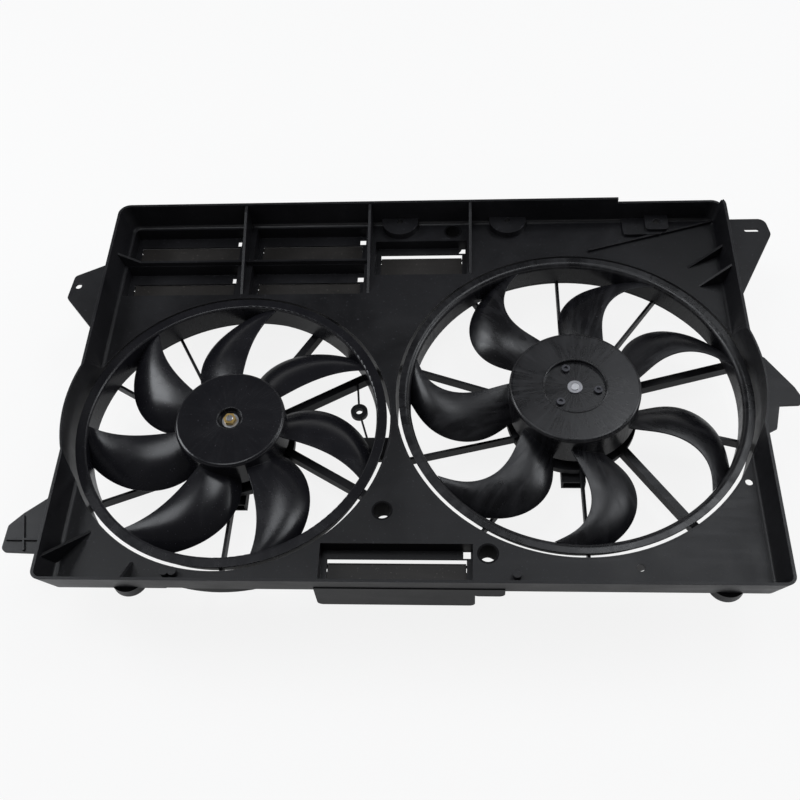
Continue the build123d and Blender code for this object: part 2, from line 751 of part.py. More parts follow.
for name, plates in (("mounting_ears", ears[:3]), ("slotted_ear", ears[3:])):
    with BuildPart() as ear_plates:
        for way, level, corner, points in plates:
            with BuildSketch(Plane.XY.offset(front + level - ear_plate)) as ear:
                Polygon(*[(way * (side + reach), y) for reach, y in points], align=None)
                tips = ear.vertices().sort_by(Axis.X)
                fillet(tips[:2] if way < 0 else tips[-2:], corner)
            extrude(amount=ear_plate)
        if name == "mounting_ears":
            # stiffening ribs on the lower left ear
            rib_y = bottom + ear_rib_rise
            with BuildSketch(Plane.XY.offset(front + ear_level)):
                trace(Line((4 - ear_reach, rib_y), (-side, rib_y), mode=Mode.PRIVATE), line_width=ear_rib)
                trace(
                    Line((16 - ear_reach, rib_y + 27), (25 - ear_reach, rib_y - 12), mode=Mode.PRIVATE),
                    line_width=ear_rib,
                )
            extrude(amount=ear_rib)
        with BuildSketch(Plane.XY.offset(front)):
            with Locations((ear_hole_inset - ear_reach, top - ear_hole_drop)):
                Circle(hole_radius)
            with Locations((ear_reach - slot_inset, top - slot_drop)):
                SlotOverall(slot_length, slot_width)
            with Locations(left_centre):
                Circle(left_barrel)
            with Locations(right_centre):
                Circle(right_barrel)
        extrude(amount=rim_height, mode=Mode.SUBTRACT)
        add(tray_block.part, mode=Mode.SUBTRACT)
    ear_plates.part.label = name
    export_step(ear_plates.part, f"parts/{name}.step")


# Ram-air doors: a flap on a round bar whose pins turn in the pocket's pin plates
for name, pocket in pockets.items():
    hinge_y, hinge_z = hinge(pocket)
    low_x, high_x, low_y, high_y = window(name)
    flap_front = hinge_z + hinge_drop - door_gap
    bar_length = high_x - low_x - 2 * hinge_clearance
    with BuildPart() as door:
        with BuildSketch(Plane.XY.offset(flap_front - door_thickness)):
            with Locations(((low_x + high_x) / 2, low_y - door_overlap)):
                Rectangle(
                    high_x - low_x + 2 * door_overlap,
                    hinge_y - hinge_inset / 2 - low_y + door_overlap,
                    align=(Align.CENTER, Align.MIN),
                )
                Rectangle(bar_length, hinge_y - low_y + door_overlap, align=(Align.CENTER, Align.MIN))
        extrude(amount=door_thickness)
        with BuildSketch(Plane.YZ.offset(low_x + hinge_clearance)):
            with Locations((hinge_y, hinge_z)):
                Circle(hinge_radius)
        extrude(amount=bar_length)
        with BuildSketch(Plane.YZ.offset(low_x - clip_width)):
            with Locations((hinge_y, hinge_z)):
                Circle(pin_radius)
        extrude(amount=high_x - low_x + 2 * clip_width)
    door.part.label = f"{name}_door"
    export_step(door.part, f"parts/{name}_door.step")


class FanShape:
    """Sizes of one fan and the angles of its blade edges at a radius, measured from the leading tip."""

    def __init__(self, hub, ring, lip, bell, hub_height, ring_depth, lead, trail, angles):
        self.hub, self.ring, self.lip, self.bell = hub, ring, lip, bell
        self.inner_ring = ring - ring_wall
        self.hub_face = front + hub_height
        self.ring_rear = front - ring_depth
        self.lead, self.trail = lead, trail
        self.angles = angles


def left_span(radius):
    """Share of the left blade's length at a radius."""
    return min(max((radius - left_hub) / (left_ring - left_hub), 0), 1.05)


def left_lead(radius):
    """The left blade's leading edge bows forward to its tip."""
    return left_lead_bow * (1 - left_span(radius) ** 2)


def left_trail(radius):
    """The left blade narrows from root to tip."""
    return left_blade_root - left_blade_taper * left_span(radius) ** 1.5


def right_lead(radius):
    """The right blade's leading edge is a crescent."""
    return right_lead_bow * (1 - ((radius - right_lead_crest) / right_lead_reach) ** 2)


def right_trail(radius):
    """The right blade's trailing edge follows the crescent."""
    return right_blade_root - right_trail_bow * ((radius - right_trail_crest) / right_trail_reach) ** 2


left_shape = FanShape(
    left_hub, left_ring, left_lip, left_bell, left_hub_height, left_ring_depth,
    left_lead, left_trail, [left_blade_start + 360 / blade_count * n for n in range(blade_count)],
)
right_shape = FanShape(
    right_hub, right_ring, right_lip, right_bell, right_hub_height, right_ring_depth,
    right_lead, right_trail, right_blade_angles,
)


def blade_section(shape, radius):
    """Cambered section of a blade, on the plane that touches the cylinder of this radius."""
    lead, trail = shape.lead(radius), shape.trail(radius)
    turn = radians((lead + trail) / 2)
    half = radius * tan(radians((trail - lead) / 2))
    plane = Plane(
        origin=(radius * cos(turn), radius * sin(turn), 0),
        x_dir=(-sin(turn), cos(turn), 0),
        z_dir=(cos(turn), sin(turn), 0),
    )
    nose = Vector(-half, front - blade_nose)
    tail = Vector(half, shape.ring_rear + blade_tail)
    run = tail - nose
    normal = Vector(-run.Y, run.X).normalized()
    crown = (nose + tail) * 0.5 + normal * (blade_camber * run.length)
    with BuildSketch(plane) as section:
        with BuildLine():
            front_arc = ThreePointArc(
                nose + normal * (blade_edge / 2), crown + normal * (blade_thickness / 2),
                tail + normal * (blade_edge / 2),
            )
            rear_arc = ThreePointArc(
                tail - normal * (blade_edge / 2), crown - normal * (blade_thickness / 2),
                nose - normal * (blade_edge / 2),
            )
            Line(front_arc @ 1, rear_arc @ 0)
            Line(rear_arc @ 1, front_arc @ 0)
        make_face()
    return section.sketch


def make_fan(shape, bore):
    """Hub cup and seven swept blades lofted through their sections, cut where they meet the ring."""
    low = shape.hub - hub_wall / 2
    span = shape.inner_ring - low
    with BuildPart() as blade:
        radii = [low - 7, *[low + span * share for share in (0.2, 0.42, 0.62, 0.82)], shape.ring + 2]
        loft([blade_section(shape, radius) for radius in radii])
        with BuildSketch(Plane.XY):
            Circle(shape.inner_ring)
            Circle(low, mode=Mode.SUBTRACT)
        extrude(amount=rim, mode=Mode.INTERSECT)
    with BuildPart() as fan:
        with BuildSketch(Plane.XZ):
            Polygon(
                (bore, shape.hub_face - hub_wall),
                (bore, shape.hub_face),
                (shape.hub, shape.hub_face),
                (shape.hub, shape.ring_rear),
                (shape.hub - hub_wall, shape.ring_rear),
                (shape.hub - hub_wall, shape.hub_face - hub_wall),
                align=None,
            )
        revolve(axis=Axis.Z)
        rims = fan.edges().filter_by(GeomType.CIRCLE).filter_by(lambda edge: edge.radius == shape.hub)
        fillet(rims.sort_by(Axis.Z)[-1], hub_edge)
        for angle in shape.angles:
            add(blade.part, rotation=(0, 0, angle))
    return fan.part


def make_ring(shape):
    """Ring round the blade tips, turned outwards into a lip in front."""
    mouth, tip = shape.inner_ring + shape.bell, shape.ring + shape.lip
    lip_front, bell_rear = front + lip_rise, front + lip_rise - shape.bell
    heart = Vector(mouth, bell_rear)
    slant = Vector(-cos(pi / 4), sin(pi / 4))
    with BuildPart() as ring:
        with BuildSketch(Plane.XZ):
            with BuildLine():
                ThreePointArc((shape.inner_ring, bell_rear), heart + slant * shape.bell, (mouth, lip_front))
                Polyline(
                    (mouth, lip_front),
                    (tip, lip_front),
                    (tip, lip_front - ring_wall),
                    (mouth, lip_front - ring_wall),
                )
                ThreePointArc(
                    (mouth, lip_front - ring_wall),
                    heart + slant * (shape.bell - ring_wall),
                    (shape.ring, bell_rear),
                )
                Polyline(
                    (shape.ring, bell_rear),
                    (shape.ring, shape.ring_rear),
                    (shape.inner_ring, shape.ring_rear),
                    (shape.inner_ring, bell_rear),
                )
            make_face()
        revolve(axis=Axis.Z)
    return ring.part


# Left fan: its hub is clamped on the shaft by a nut in a small dimple
left_seat = left_shape.hub_face - left_boss_length
left_nut_rear = left_shape.hub_face - left_dimple_depth + washer_thickness
with BuildPart() as left_fan:
    add(make_fan(left_shape, left_boss - 1))
    with BuildSketch(Plane.XY.offset(left_seat)):
        Circle(left_boss)
    extrude(amount=left_boss_length)
    with BuildSketch(Plane.XY.offset(left_shape.hub_face - left_dimple_depth)):
        Circle(left_dimple)
    extrude(amount=left_dimple_depth, mode=Mode.SUBTRACT)
    with BuildSketch(Plane.XY.offset(left_seat)):
        Circle(thread_radius + press)
    extrude(amount=left_boss_length, mode=Mode.SUBTRACT)

with BuildPart() as left_fan_washer:
    with BuildSketch(Plane.XY.offset(left_nut_rear - washer_thickness)):
        Circle(washer_radius)
        Circle(thread_radius + press, mode=Mode.SUBTRACT)
    extrude(amount=washer_thickness)

with BuildPart() as left_fan_nut:
    with BuildSketch(Plane.XY.offset(left_nut_rear)):
        RegularPolygon(nut_width / 2, 6, major_radius=False)
        Circle(thread_radius + press, mode=Mode.SUBTRACT)
    extrude(amount=nut_height)

with BuildPart() as left_shaft:
    with BuildSketch(Plane.XY.offset(can_wall)):
        Circle(shaft_radius)
    extrude(amount=left_seat - can_wall)
    with BuildSketch(Plane.XY.offset(left_seat)):
        Circle(thread_radius)
    extrude(amount=left_nut_rear + nut_height + 1 - left_seat)
    chamfer(left_shaft.edges().filter_by(GeomType.CIRCLE).sort_by(Axis.Z)[-1], thread_chamfer)

# Right fan: three screws hold its recessed face to a drive plate pressed on the shaft
plate_top = right_shape.hub_face - right_recess_depth - hub_wall
plate_bottom = plate_top - drive_plate_thickness
screw_spots = [polar(fan_screw_circle, angle) for angle in fan_screw_angles]
with BuildPart() as right_fan:
    add(make_fan(right_shape, right_recess))
    with BuildSketch(Plane.XY.offset(plate_top)):
        Circle(right_recess + hub_wall)
        Circle(spigot_radius + press, mode=Mode.SUBTRACT)
        with Locations(*screw_spots):
            Circle(fan_screw_radius + loose, mode=Mode.SUBTRACT)
    extrude(amount=hub_wall)
    with BuildSketch(Plane.XY.offset(plate_top + hub_wall)):
        Circle(right_recess + hub_wall)
        Circle(right_recess, mode=Mode.SUBTRACT)
    extrude(amount=right_recess_depth - hub_wall)

with BuildPart() as right_drive_plate:
    with BuildSketch(Plane.XY.offset(plate_bottom)):
        Circle(drive_plate_radius)
    extrude(amount=drive_plate_thickness)
    with BuildSketch(Plane.XY.offset(plate_top)):
        Circle(spigot_radius)
    extrude(amount=spigot_length)
    with BuildSketch(Plane.XY.offset(plate_bottom)):
        Circle(shaft_radius + press)
        with Locations(*screw_spots):
            Circle(fan_screw_radius + press)
    extrude(amount=drive_plate_thickness + spigot_length, mode=Mode.SUBTRACT)

with BuildPart() as right_fan_screws:
    with BuildSketch(Plane.XY.offset(plate_bottom)):
        with Locations(*screw_spots):
            Circle(fan_screw_radius)
    extrude(amount=drive_plate_thickness + hub_wall)
    with BuildSketch(Plane.XY.offset(plate_top + hub_wall)):
        with Locations(*screw_spots):
            Circle(fan_screw_head)
    extrude(amount=fan_screw_head_height)
    with BuildSketch(Plane.XY.offset(plate_top + hub_wall + 1)):
        with Locations(*screw_spots):
            RegularPolygon(fan_screw_socket, 6)
    extrude(amount=fan_screw_head_height - 1, mode=Mode.SUBTRACT)

with BuildPart() as right_shaft:
    with BuildSketch(Plane.XY.offset(can_wall)):
        Circle(shaft_radius)
    extrude(amount=plate_top + hub_wall + 2 - can_wall)
    chamfer(right_shaft.edges().filter_by(GeomType.CIRCLE).sort_by(Axis.Z)[-1], thread_chamfer)

placed = {
    "left_fan": (left_fan.part, left_x, left_y),
    "left_fan_ring": (make_ring(left_shape), left_x, left_y),
    "left_fan_washer": (left_fan_washer.part, left_x, left_y),
    "left_fan_nut": (left_fan_nut.part, left_x, left_y),
    "left_shaft": (left_shaft.part, left_x, left_y),
    "right_fan": (right_fan.part, right_x, right_y),
    "right_fan_ring": (make_ring(right_shape), right_x, right_y),
    "right_drive_plate": (right_drive_plate.part, right_x, right_y),
    "right_fan_screws": (right_fan_screws.part, right_x, right_y),
    "right_shaft": (right_shaft.part, right_x, right_y),
}


def motor_pieces(can_radius, can_front, screw_circle, screw_angles, brush_angles, socket_angle):
    """Every piece of one motor about its own axis, by name."""
    inside = can_radius - can_wall
    magnet_inner = inside - press - magnet_thickness
    core_radius = magnet_inner - air_gap
    core_front = can_front - core_to_front
    card_front = can_front - end_cap - bearing_length - card_gap
    slot_depth = core_radius - slot_floor - tooth_tip
    pieces = {}

    # steel can, drawn in one piece with its rear bearing seat and three mounting ears
    with BuildPart() as can:
        with BuildSketch(Plane.XY):
            Circle(can_radius)
        extrude(amount=can_front)
        fillet(can.edges().filter_by(GeomType.CIRCLE).sort_by(Axis.Z)[0], can_edge)
        with BuildSketch(Plane.XY.offset(barrel_rear - mount_ear)):
            for angle in screw_angles:
                spot = polar(screw_circle, angle)
                with Locations(spot):
                    Circle(mount_ear_radius)
                trace(Line((0, 0), spot, mode=Mode.PRIVATE), line_width=2 * mount_ear_radius)
        extrude(amount=mount_ear)
        with BuildSketch(Plane.XY.offset(can_wall)):
            Circle(inside)
        extrude(amount=can_front, mode=Mode.SUBTRACT)
        fillet(can.faces().filter_by(Plane.XY).filter_by(lambda f: abs(f.center().Z - can_wall) < 0.1)
               .edges(), can_edge - can_wall)
        with BuildSketch(Plane.XY.offset(can_wall)):
            Circle(bearing_radius + bearing_seat)
            Circle(bearing_radius + press, mode=Mode.SUBTRACT)
        extrude(amount=bearing_length)
        with BuildSketch(Plane.XY.offset(barrel_rear - mount_ear)):
            with Locations(*[polar(screw_circle, angle) for angle in screw_angles]):
                Circle(motor_screw_radius + press)
        extrude(amount=mount_ear, mode=Mode.SUBTRACT)
    pieces["can"] = can.part

    with BuildPart() as rear_bearing:
        with BuildSketch(Plane.XY.offset(can_wall)):
            Circle(bearing_radius)
            Circle(shaft_radius + running, mode=Mode.SUBTRACT)
        extrude(amount=bearing_length)
    pieces["rear_bearing"] = rear_bearing.part

    with BuildPart() as end_plate:
        with BuildSketch(Plane.XY.offset(can_front - end_cap)):
            Circle(inside - press)
        extrude(amount=end_cap)
        with BuildSketch(Plane.XY.offset(can_front - end_cap - bearing_length)):
            Circle(bearing_radius + bearing_seat)
        extrude(amount=bearing_length)
        with BuildSketch(Plane.XY.offset(can_front - end_cap - bearing_length)):
            Circle(bearing_radius + press)
        extrude(amount=bearing_length, mode=Mode.SUBTRACT)
        with BuildSketch(Plane.XY.offset(can_front - end_cap)):
            Circle(shaft_radius + 1)
        extrude(amount=end_cap, mode=Mode.SUBTRACT)
    pieces["end_plate"] = end_plate.part

    with BuildPart() as front_bearing:
        with BuildSketch(Plane.XY.offset(can_front - end_cap - bearing_length)):
            Circle(bearing_radius)
            Circle(shaft_radius + running, mode=Mode.SUBTRACT)
        extrude(amount=bearing_length)
    pieces["front_bearing"] = front_bearing.part

    with BuildPart() as magnets:
        with BuildSketch(Plane.XY.offset(core_rear - magnet_overhang)):
            Circle(inside - press)
            Circle(magnet_inner, mode=Mode.SUBTRACT)
            with PolarLocations(inside - magnet_thickness / 2, magnet_count):
                Rectangle(2 * magnet_thickness, magnet_gap, mode=Mode.SUBTRACT)
        extrude(amount=core_front - core_rear + 2 * magnet_overhang)
    pieces["magnets"] = magnets.part

    with BuildPart() as card:
        with BuildSketch(Plane.XY.offset(card_front - brush_card)):
            Circle(inside - loose)
            Circle(commutator_radius + commutator_gap, mode=Mode.SUBTRACT)
        extrude(amount=brush_card)
    pieces["brush_card"] = card.part

    brush_inner = commutator_radius + brush_gap
    with BuildPart() as brushes:
        with BuildSketch(Plane.XY.offset(card_front - brush_card - brush_height)):
            for angle in brush_angles:
                with Locations(Location(polar(brush_inner + brush_length / 2, angle), angle)):
                    Rectangle(brush_length, brush_width)
        extrude(amount=brush_height)
    pieces["brushes"] = brushes.part

    with BuildPart() as springs:
        with BuildSketch(Plane.XY.offset(card_front - brush_card - brush_height)):
            for angle in brush_angles:
                reach = brush_inner + brush_length + spring_thickness / 2
                with Locations(Location(polar(reach, angle), angle)):
                    Rectangle(spring_thickness, brush_width + 2 * spring_overhang)
        extrude(amount=brush_height)
    pieces["brush_springs"] = springs.part

    with BuildPart() as screws:
        spots = [polar(screw_circle, angle) for angle in screw_angles]
        with BuildSketch(Plane.XY.offset(barrel_rear - mount_ear - motor_screw_head_height)):
            with Locations(*spots):
                RegularPolygon(motor_screw_head, 6)
        extrude(amount=motor_screw_head_height)
        with BuildSketch(Plane.XY.offset(barrel_rear - mount_ear)):
            with Locations(*spots):
                Circle(motor_screw_radius)
        extrude(amount=mount_ear + mount_ring_depth + motor_screw_end)
    pieces["motor_screws"] = screws.part

    # connector socket on the side of the can, open outwards, with two blade terminals
    socket_level = barrel_rear - socket_gap - socket_height
    with BuildPart() as socket:
        with BuildSketch(Plane.XY.offset(socket_level)):
            with Locations((can_radius + socket_length / 2 - socket_floor / 2, 0)):
                Rectangle(socket_length + socket_floor, socket_width)
            Circle(can_radius + press, mode=Mode.SUBTRACT)
        extrude(amount=socket_height)
        with BuildSketch(Plane.XY.offset(socket_level + socket_wall)):
            with Locations((can_radius + socket_floor, 0)):
                Rectangle(
                    socket_length, socket_width - 2 * socket_wall, align=(Align.MIN, Align.CENTER)
                )
        extrude(amount=socket_height - 2 * socket_wall, mode=Mode.SUBTRACT)
    pieces["socket"] = socket.part.rotate(Axis.Z, socket_angle)

    with BuildPart() as terminals:
        with BuildSketch(Plane.XY.offset(socket_level + (socket_height - terminal_thickness) / 2)):
            with GridLocations(0, socket_width / 2, 1, 2):
                with Locations((can_radius + socket_floor, 0)):
                    Rectangle(
                        socket_length - socket_floor - terminal_end, terminal_width,
                        align=(Align.MIN, Align.CENTER),
                    )
        extrude(amount=terminal_thickness)
    pieces["terminals"] = terminals.part.rotate(Axis.Z, socket_angle)

    with BuildPart() as core:
        with BuildSketch(Plane.XY.offset(core_rear)):
            Circle(core_radius)
            Circle(shaft_radius + press, mode=Mode.SUBTRACT)
            with PolarLocations(slot_floor, slot_count):
                Rectangle(slot_depth, slot_width_inside, align=(Align.MIN, Align.CENTER), mode=Mode.SUBTRACT)
                Rectangle(core_radius, slot_opening, align=(Align.MIN, Align.CENTER), mode=Mode.SUBTRACT)
        extrude(amount=core_front - core_rear)
    pieces["armature_core"] = core.part

    with BuildPart() as windings:
        with BuildSketch(Plane.XY.offset(core_rear)):
            with PolarLocations(slot_floor + loose, slot_count):
                Rectangle(
                    slot_depth - 2 * loose, slot_width_inside - 2 * loose, align=(Align.MIN, Align.CENTER)
                )
        extrude(amount=core_front - core_rear)
        for level in (core_rear - winding_height, core_front):
            with BuildSketch(Plane.XY.offset(level)):
                Circle(slot_floor + slot_depth)
                Circle(commutator_radius + commutator_gap, mode=Mode.SUBTRACT)
            extrude(amount=winding_height)
    pieces["windings"] = windings.part

    with BuildPart() as commutator:
        with BuildSketch(Plane.XY.offset(core_front)):
            Circle(commutator_radius)
            Circle(shaft_radius + press, mode=Mode.SUBTRACT)
        extrude(amount=card_front - core_front)
    pieces["commutator"] = commutator.part
    return pieces


left_motor = motor_pieces(
    left_can, front - left_can_gap, left_screw_circle, left_screw_angles, [30, 210], 270
)
right_motor = motor_pieces(
    right_can, front - right_can_gap, right_screw_circle, right_screw_angles, [15, 105, 195, 285], 270
)
for piece, solid in left_motor.items():
    placed[f"left_{piece}"] = (solid, left_x, left_y)
for piece, solid in right_motor.items():
    placed[f"right_{piece}"] = (solid, right_x, right_y)

for name, (solid, x, y) in placed.items():
    moved = solid.moved(Location((x, y, 0)))
    moved.label = name
    export_step(moved, f"parts/{name}.step")
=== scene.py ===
"""Twin radiator cooling fan, dressed for its picture: a finish for each moulded and metal piece, two
low rims on the hubs, the floor, the lamps and the camera at the photograph's angle. Lengths are in
metres, and colours are linear red, green, blue and alpha.
"""
import json
from math import cos, pi, radians, sin

import bpy
import numpy as np
from mathutils import Matrix, Vector


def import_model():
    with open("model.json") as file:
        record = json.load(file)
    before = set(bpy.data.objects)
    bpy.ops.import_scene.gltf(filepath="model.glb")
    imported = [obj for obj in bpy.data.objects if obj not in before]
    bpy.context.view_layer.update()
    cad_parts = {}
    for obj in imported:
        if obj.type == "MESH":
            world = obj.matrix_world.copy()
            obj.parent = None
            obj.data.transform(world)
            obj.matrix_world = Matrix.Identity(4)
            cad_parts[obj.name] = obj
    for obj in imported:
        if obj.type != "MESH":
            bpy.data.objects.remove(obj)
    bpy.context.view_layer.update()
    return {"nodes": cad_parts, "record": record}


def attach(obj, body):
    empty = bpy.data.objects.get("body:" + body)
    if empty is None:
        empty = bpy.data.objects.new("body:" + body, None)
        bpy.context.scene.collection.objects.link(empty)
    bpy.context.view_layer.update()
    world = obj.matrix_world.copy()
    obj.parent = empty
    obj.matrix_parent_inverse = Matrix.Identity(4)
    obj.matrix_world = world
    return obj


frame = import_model()

# Camera, worked out from the corners of the tray and the two fan rings
FOCAL = 46.24
SENSOR = 36.0
CAMERA_PLACE = Vector((0.06112, -0.62576, 1.01479))
CAMERA_PITCH = radians(56.79)
CAMERA_YAW = radians(-6.96)
CAMERA_ROLL = radians(-6.02)

# Places and sizes of the CAD pieces that finishes and rims follow
LEFT_AXIS = (-0.19585, -0.0461)
RIGHT_AXIS = (0.17535, -0.0082)
LEFT_BARREL = 0.175
RIGHT_BARREL = 0.1955
PLATE_FRONT = 0.078
LEFT_HUB_FACE = 0.088
RIGHT_HUB_FACE = 0.092
LEFT_DIMPLE = 0.013
RIGHT_RECESS = 0.033

# Planes where the divisions of the one moulding meet, and how near to them an edge is plain
SEAMS_X = (-0.206, -0.19585, -0.0899, -0.056, 0.064, 0.06706, 0.17535)
SEAMS_Y = (-0.186, -0.02715, 0.13, 0.158, 0.1775, 0.214)
SEAM_NEAR = 0.0008
SEAM_FAR = 0.0013

# Rims round the hubs' hollows: width and height of each, and how deep both are sunk
LEFT_RIM = (0.0016, 0.0006)
RIGHT_RIM = (0.0022, 0.0008)
RIM_SUNK = 0.0003

# Plastics: darkest and palest colour of the mottling
SHROUD_BLACK = ((0.0046, 0.0046, 0.0058, 1), (0.0115, 0.0115, 0.0138, 1))
# Bolt tubes: the shroud's black, darkened as painted shade
TUBE_SHADE_BLACK = ((0.0030, 0.0030, 0.0036, 1), (0.0055, 0.0055, 0.0065, 1))
SMOOTH_BLACK = ((0.0070, 0.0070, 0.0092, 1), (0.0118, 0.0116, 0.0146, 1))
SATIN_BLACK = ((0.0042, 0.0042, 0.0054, 1), (0.0175, 0.0175, 0.0205, 1))
DOOR_BROWN = ((0.014, 0.0125, 0.0115, 1), (0.028, 0.025, 0.023, 1))
CARD_BROWN = ((0.05, 0.028, 0.016, 1), (0.08, 0.045, 0.026, 1))
CONNECTOR_BLACK = ((0.010, 0.010, 0.011, 1), (0.02, 0.02, 0.022, 1))
# Edges paler in plastic and brighter in metal: partly wear, partly a painted highlight
EDGE_WEAR_AND_HIGHLIGHT_PALER = 6
EDGE_WEAR_AND_HIGHLIGHT_BRIGHTER = 1.5

# Studio: brightness of walls, ceiling and even fill, and shares of white that the floor shows
WHITE = (1, 1, 1, 1)
WALL = 1.0
CEILING = 0.06
WALL_TOP = 0.1
CEILING_START = 0.42
FILL = 0.34
FLOOR_WHITE = 0.86
FLOOR_MIRRORED = 0.22
FLOOR_RADIUS = 14.0
LAMP_COLOUR = (0.93, 0.96, 1.0)


class Value:
    """One output of a node. Arithmetic on it adds Math nodes to the same finish."""

    def __init__(self, finish, socket):
        self.finish = finish
        self.socket = socket

    def maths(self, operation, first, second=0.0):
        return self.finish.node("ShaderNodeMath", {"operation": operation}, {0: first, 1: second})

    def __add__(self, other):
        return self.maths("ADD", self, other)

    def __radd__(self, other):
        return self.maths("ADD", other, self)

    def __sub__(self, other):
        return self.maths("SUBTRACT", self, other)

    def __rsub__(self, other):
        return self.maths("SUBTRACT", other, self)

    def __mul__(self, other):
        return self.maths("MULTIPLY", self, other)

    def __rmul__(self, other):
        return self.maths("MULTIPLY", other, self)

    def __pow__(self, other):
        return self.maths("POWER", self, other)


class Finish:
    """A node-based material. Every node except plain arithmetic comes from node()."""

    def __init__(self, name, tree=None):
        if tree is None:
            self.material = bpy.data.materials.new(name)
            self.material.use_nodes = True
            tree = self.material.node_tree
        self.tree = tree
        self.tree.nodes.clear()
        self.known_place = None

    def node(self, kind, settings, values, out=0):
        """Adds a node: its settings first, then the values or links of its sockets."""
        made = self.tree.nodes.new(kind)
        for name, setting in settings.items():
            setattr(made, name, setting)
        for key, value in values.items():
            if isinstance(value, Value):
                self.tree.links.new(value.socket, made.inputs[key])
            else:
                made.inputs[key].default_value = value
        return Value(self, made.outputs[out]) if len(made.outputs) else None

    def place(self):
        """Object coordinates, in metres."""
        if self.known_place is None:
            self.known_place = self.node("ShaderNodeTexCoord", {}, {}, "Object")
        return self.known_place

    def axis_part(self, letter):
        return self.node("ShaderNodeSeparateXYZ", {}, {0: self.place()}, letter)

    def moved(self, shift=(0, 0, 0), stretch=(1, 1, 1), turn=(0, 0, 0)):
        """Object coordinates, turned, stretched and moved."""
        return self.node("ShaderNodeMapping", {}, {
            "Vector": self.place(), "Location": shift, "Rotation": turn, "Scale": stretch})

    def noise(self, scale, detail=3.0, rough=0.55, place=None, twist=0.0):
        return self.node("ShaderNodeTexNoise", {}, {
            "Vector": place or self.place(), "Scale": scale, "Detail": detail,
            "Roughness": rough, "Distortion": twist})

    def ramp(self, value, low, high, start=0.0, end=1.0):
        """Smooth step of a value from low to high, giving start to end."""
        return self.node("ShaderNodeMapRange", {"interpolation_type": "SMOOTHSTEP"}, {
            "Value": value, "From Min": low, "From Max": high, "To Min": start, "To Max": end})

    def blend(self, share, first, second):
        """Colour between two colours."""
        return self.node(
            "ShaderNodeMix", {"data_type": "RGBA"}, {0: share, 6: first, 7: second}, 2)

    def plain_normal(self):
        return self.node("ShaderNodeNewGeometry", {}, {}, "Normal")

    def soft_edges(self, radius):
        """Normal with moulded or rolled edges of this radius."""
        return self.node("ShaderNodeBevel", {"samples": 4}, {"Radius": radius})

    def edge_share(self, soft):
        """0 on flat ground, near 1 where the softened normal turns over an edge."""
        facing = self.node(
            "ShaderNodeVectorMath", {"operation": "DOT_PRODUCT"},
            {0: soft, 1: self.plain_normal()}, "Value")
        return self.ramp(1.0 - facing, 0.02, 0.3)

    def away(self, value, place):
        """0 where a value is within about 1 mm of a place, 1 elsewhere."""
        return self.ramp((value - place).maths("ABSOLUTE", value - place), SEAM_NEAR, SEAM_FAR)

    def across_from(self, centre):
        """X and Y measured from an upright axis."""
        return self.axis_part("X") - centre[0], self.axis_part("Y") - centre[1]

    def from_axis(self, centre):
        """Distance from an upright axis."""
        x, y = self.across_from(centre)
        return (x * x + y * y) ** 0.5

    def off_seams(self, soft):
        """The softened normal, but the plain one where divisions of the moulding meet flush."""
        share = self.away(self.axis_part("Z"), PLATE_FRONT)
        for letter, seams in (("X", SEAMS_X), ("Y", SEAMS_Y)):
            for place in seams:
                share = share * self.away(self.axis_part(letter), place)
        for axis, barrel in ((LEFT_AXIS, LEFT_BARREL), (RIGHT_AXIS, RIGHT_BARREL)):
            share = share * self.away(self.from_axis(axis), barrel)
        return self.node("ShaderNodeMix", {"data_type": "VECTOR"}, {
            0: share, 4: self.plain_normal(), 5: soft}, 1)

    def bump(self, height, depth, strength, normal):
        return self.node("ShaderNodeBump", {}, {
            "Height": height, "Distance": depth, "Strength": strength, "Normal": normal})

    def surface(self, **values):
        """Principled surface; underscores in the names stand for spaces."""
        shader = self.node("ShaderNodeBsdfPrincipled", {}, {
            name.replace("_", " "): value for name, value in values.items()})
        self.node("ShaderNodeOutputMaterial", {}, {"Surface": shader})
        return self.material


def brighter(colour, times):
    """The same colour, brighter, and no brighter than white."""
    return [min(1.0, times * part) for part in colour[:3]] + [1]


def plastic(name, colours, rough, gloss, streak_turn=0.0, divided=False):
    """Moulded plastic: cloudy mottling, faint flow streaks, fine grain and lighter edges, partly
    wear and partly a painted highlight.
    """
    dark, pale = colours
    finish = Finish(name)
    clouds = finish.ramp(finish.noise(9.0, 5.0, 0.62, twist=0.4), 0.35, 0.72)
    along = finish.moved(stretch=(6, 70, 24), turn=(0, 0, streak_turn))
    flow = finish.ramp(finish.noise(1.0, 4.0, 0.6, along, 0.6), 0.45, 0.75)
    specks = finish.ramp(finish.noise(420.0, 2.0, 0.5), 0.66, 0.74)
    soft = finish.soft_edges(0.0006)
    if divided:
        soft = finish.off_seams(soft)
    # Edge mask that pales the colour: partly wear, partly a painted highlight
    wear_and_highlight = finish.edge_share(soft)
    base = finish.blend(clouds * 0.7 + flow * 0.3, dark, pale)
    base = finish.blend(specks * 0.35 + wear_and_highlight * 0.3, base, brighter(pale, EDGE_WEAR_AND_HIGHLIGHT_PALER))
    grain = finish.noise(2600.0, 2.0, 0.6) + 0.6 * finish.noise(300.0, 3.0)
    return finish.surface(
        Base_Color=base,
        Roughness=rough + clouds * 0.12 - flow * 0.06 + specks * 0.15,
        Specular_IOR_Level=gloss,
        Normal=finish.bump(grain, 0.00004, 0.5, soft),
    )


